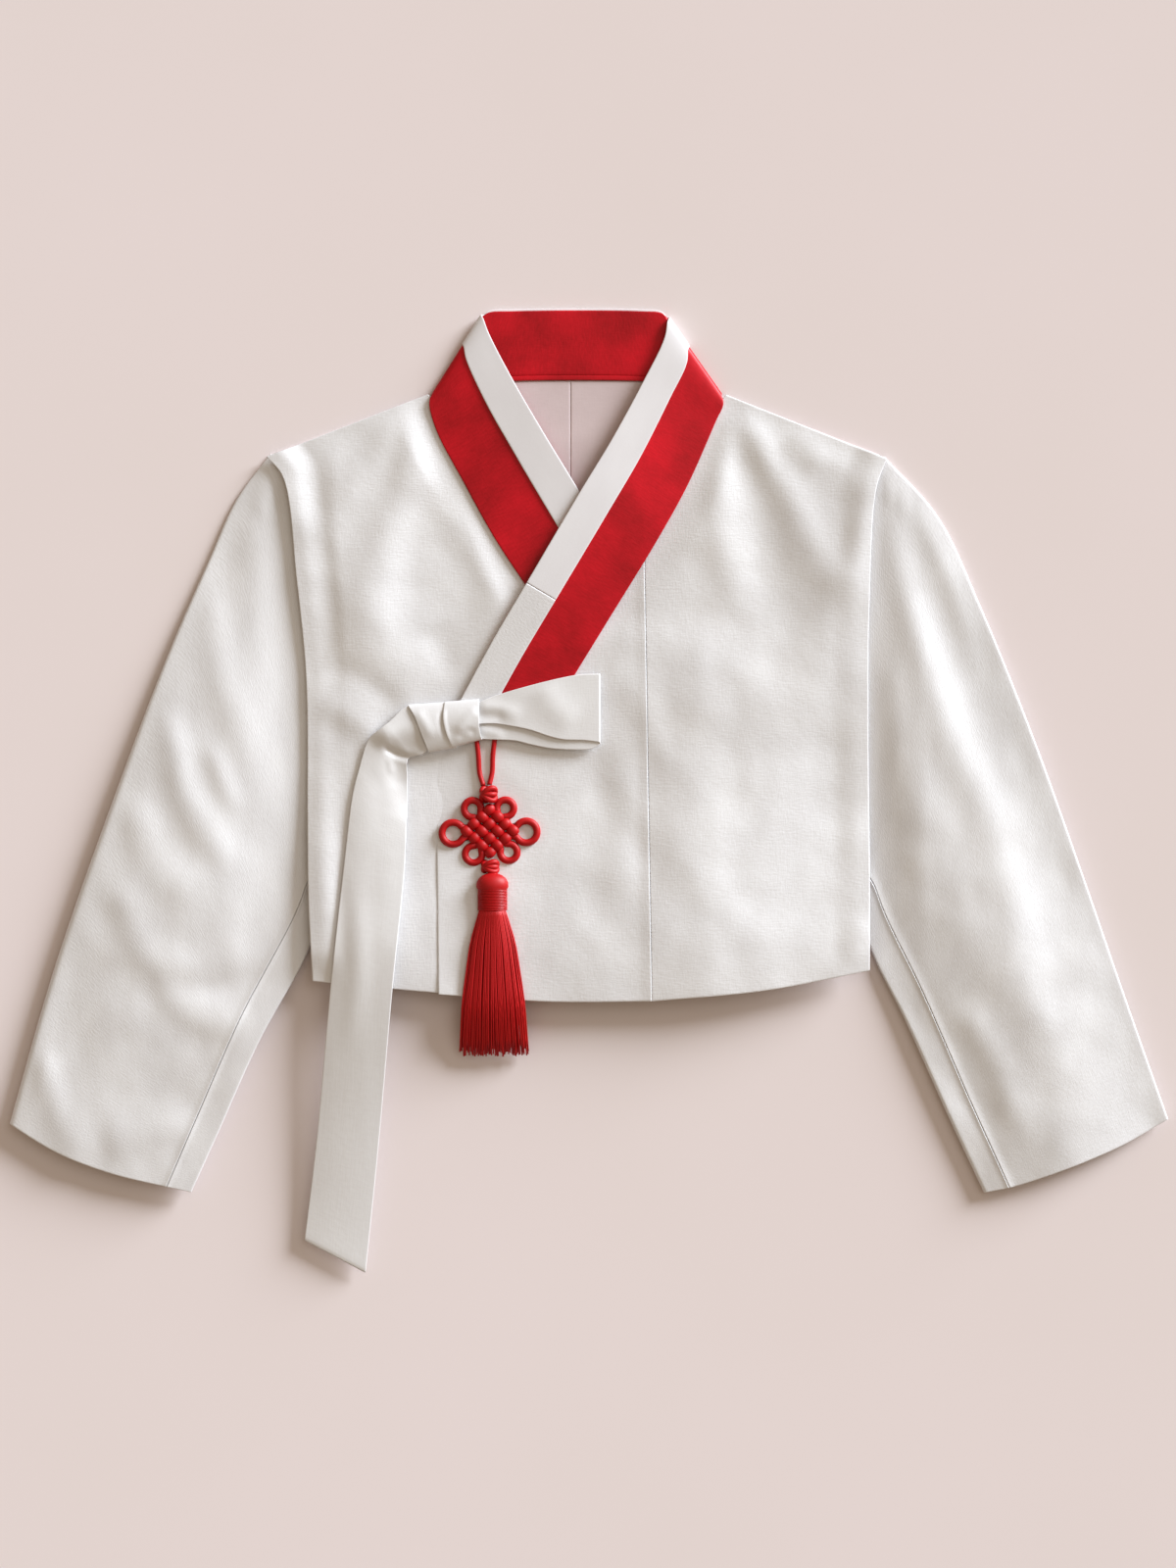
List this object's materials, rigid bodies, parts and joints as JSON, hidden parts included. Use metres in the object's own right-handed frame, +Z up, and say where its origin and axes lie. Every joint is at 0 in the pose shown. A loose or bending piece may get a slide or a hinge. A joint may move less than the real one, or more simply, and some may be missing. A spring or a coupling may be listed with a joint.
{
  "type": "jeogori",
  "caption": "Short wrap-front jacket laid flat, with wide sleeves, a banded collar crossing left over right, a tied ribbon with one bow ear and a hung knot-and-tassel pendant",
  "frame": {"origin": "centre of the bounding box in X and Y, on the surface the jacket lies on", "axes": "+X from the wearer's right sleeve to the left one, +Y from the hem to the collar, +Z up from the surface"},
  "size_m": [0.945, 0.7872, 0.0249],
  "materials": {
    "satin_white": "white silk satin, soft sheen",
    "collar_red": "plain woven red silk",
    "strip_white": "stiff white paper-backed cotton",
    "ribbon_white": "white silk satin ribbon",
    "cord_red": "braided red silk cord and thread"
  },
  "bodies": {
    "root": {"back_right_panel": "satin_white", "back_left_panel": "satin_white", "front_right_panel": "satin_white", "front_left_panel": "satin_white", "outer_seop": "satin_white", "sleeve_right": "satin_white", "sleeve_left": "satin_white", "git": "collar_red", "dongjeong": "strip_white", "git_end_band": "strip_white", "goreum_knot": "ribbon_white", "goreum_ear": "ribbon_white", "goreum_tail": "ribbon_white", "norigae_loop": "cord_red", "norigae_button_top": "cord_red", "norigae_knot": "cord_red", "norigae_button_bottom": "cord_red", "norigae_tassel": "cord_red"}
  },
  "joints": []
}
